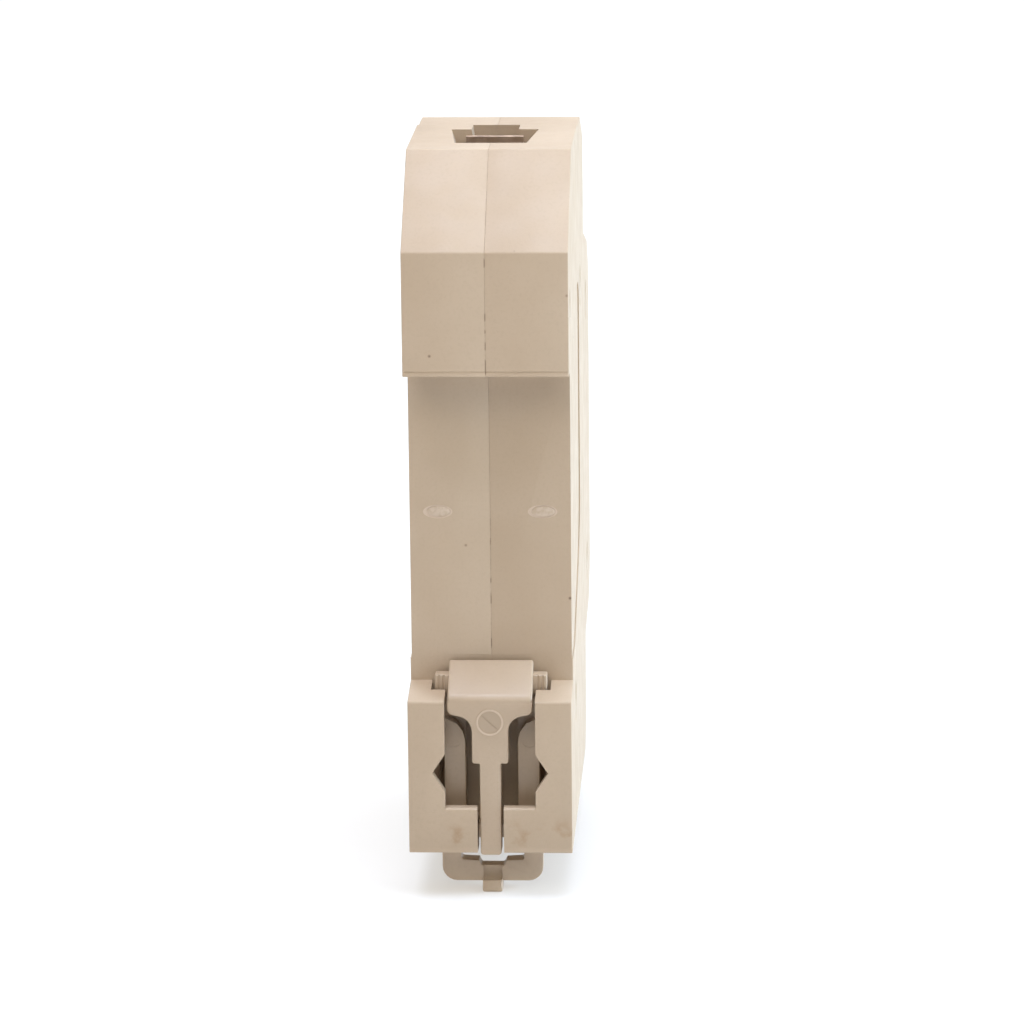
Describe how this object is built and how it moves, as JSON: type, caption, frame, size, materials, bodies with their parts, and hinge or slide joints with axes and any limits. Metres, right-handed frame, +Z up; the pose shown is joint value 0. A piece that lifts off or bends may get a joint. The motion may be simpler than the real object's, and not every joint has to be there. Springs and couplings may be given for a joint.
{
  "type": "circuit breaker",
  "caption": "One-module miniature circuit breaker with a toggle, screw terminals, contact mechanism and spring clip for 35 mm DIN rail",
  "frame": {"origin": "on the rail seat (floor of the rail channel), at the middle of the module's width and of the 35 mm rail", "axes": "+Z up along the module's height, +Y towards the rail and wall behind it, -Y out of the front past the toggle, X across the module"},
  "size_m": [0.0176, 0.066, 0.0797],
  "materials": {
    "housing_plastic": "satin moulded, fine spark texture",
    "clip_plastic": "satin moulded, slightly glossier than the housing",
    "toggle_plastic": "satin moulded",
    "trip_plastic": "satin moulded",
    "bobbin_plastic": "satin moulded",
    "fibre_board": "vulcanised fibre, matt",
    "steel": "bright zinc on steel",
    "spring_steel": "drawn spring wire",
    "zinc_plate": "yellow passivated zinc on steel",
    "copper": "bare copper, slightly tarnished",
    "brass": "turned",
    "silver": "silver graphite tip",
    "bimetal": "rolled strip"
  },
  "bodies": {
    "root": {"housing_left": "housing_plastic", "housing_right": "housing_plastic", "coil_bobbin": "bobbin_plastic", "arc_cheek_left": "fibre_board", "arc_cheek_right": "fibre_board", "solenoid_yoke": "steel", "fixed_core": "steel", "toggle_pin": "steel", "contact_arm_pin": "steel", "trip_lever_pin": "steel", "rivet_1": "steel", "rivet_2": "steel", "rivet_3": "steel", "rivet_4": "steel", "rivet_5": "steel", "plunger_spring": "spring_steel", "toggle_spring": "spring_steel", "trip_lever_spring": "spring_steel", "contact_spring": "spring_steel", "arc_plate_1": "zinc_plate", "arc_plate_2": "zinc_plate", "arc_plate_3": "zinc_plate", "arc_plate_4": "zinc_plate", "arc_plate_5": "zinc_plate", "arc_plate_6": "zinc_plate", "arc_plate_7": "zinc_plate", "arc_plate_8": "zinc_plate", "arc_plate_9": "zinc_plate", "top_terminal_bar": "copper", "bottom_terminal_bar": "copper", "coil_winding": "copper", "fixed_contact_plate": "copper", "arc_runner": "copper", "braid": "copper", "fixed_contact_tip": "silver", "bimetal_strip": "bimetal"},
    "toggle": {"toggle_lever": "toggle_plastic"},
    "link": {"toggle_link": "spring_steel"},
    "arm": {"contact_arm": "copper", "moving_contact_tip": "silver"},
    "trip": {"trip_lever": "trip_plastic"},
    "armature": {"plunger": "steel", "striker_pin": "brass"},
    "clip": {"rail_clip": "clip_plastic"},
    "top_cage": {"top_terminal_cage": "zinc_plate"},
    "top_screw": {"top_terminal_screw": "zinc_plate"},
    "bottom_cage": {"bottom_terminal_cage": "zinc_plate"},
    "bottom_screw": {"bottom_terminal_screw": "zinc_plate"},
    "calibration": {"calibration_screw": "brass"}
  },
  "joints": [
    {"name": "toggle_swing", "type": "hinge", "parent": "root", "child": "toggle", "pos_m": [0, -0.046, 0], "axis": [-1, 0, 0], "range_deg": [0, 76], "deforming": ["toggle_spring"]},
    {"name": "arm_swing", "type": "hinge", "parent": "root", "child": "arm", "pos_m": [0, -0.0295, -0.01], "axis": [-1, 0, 0], "range_deg": [0, 17.1], "deforming": ["contact_spring", "braid"]},
    {"name": "link_swing", "type": "hinge", "parent": "toggle", "child": "link", "pos_m": [0, -0.04206, 0.00308], "axis": [1, 0, 0], "range_deg": [0, 110]},
    {"name": "trip_swing", "type": "hinge", "parent": "root", "child": "trip", "pos_m": [0, -0.0386, 0.009], "axis": [-1, 0, 0], "range_deg": [0, 8], "stiffness_Nm_per_rad": 0.01, "springref_deg": -2.86, "deforming": ["trip_lever_spring"]},
    {"name": "plunger_slide", "type": "slide", "parent": "root", "child": "armature", "axis": [0, -1, 0], "range_m": [0, 0.0025], "stiffness_N_per_m": 400, "springref_m": -0.0005, "deforming": ["plunger_spring"]},
    {"name": "clip_slide", "type": "slide", "parent": "root", "child": "clip", "axis": [0, 0, -1], "range_m": [0, 0.004], "stiffness_N_per_m": 2000, "springref_m": -0.001},
    {"name": "top_screw_turn", "type": "hinge", "parent": "root", "child": "top_screw", "pos_m": [0, -0.03, 0.0313], "axis": [0, 1, 0], "range_deg": [0, 2260]},
    {"name": "top_cage_slide", "type": "slide", "parent": "root", "child": "top_cage", "axis": [0, -1, 0], "range_m": [0, 0.005]},
    {"name": "bottom_screw_turn", "type": "hinge", "parent": "root", "child": "bottom_screw", "pos_m": [0, -0.03, -0.0283], "axis": [0, 1, 0], "range_deg": [0, 2260]},
    {"name": "bottom_cage_slide", "type": "slide", "parent": "root", "child": "bottom_cage", "axis": [0, -1, 0], "range_m": [0, 0.005]},
    {"name": "calibration_turn", "type": "hinge", "parent": "root", "child": "calibration", "pos_m": [0, -0.036, -0.018], "axis": [0, 1, 0], "range_deg": [-180, 180]}
  ],
  "couplings": [
    {"joint": "arm_swing", "follows": "toggle_swing", "ratio": 0.2236},
    {"joint": "link_swing", "follows": "toggle_swing", "ratio": 1.433},
    {"joint": "top_screw_turn", "follows": "top_cage_slide", "rad_per_m": 7854},
    {"joint": "bottom_screw_turn", "follows": "bottom_cage_slide", "rad_per_m": 7854}
  ]
}
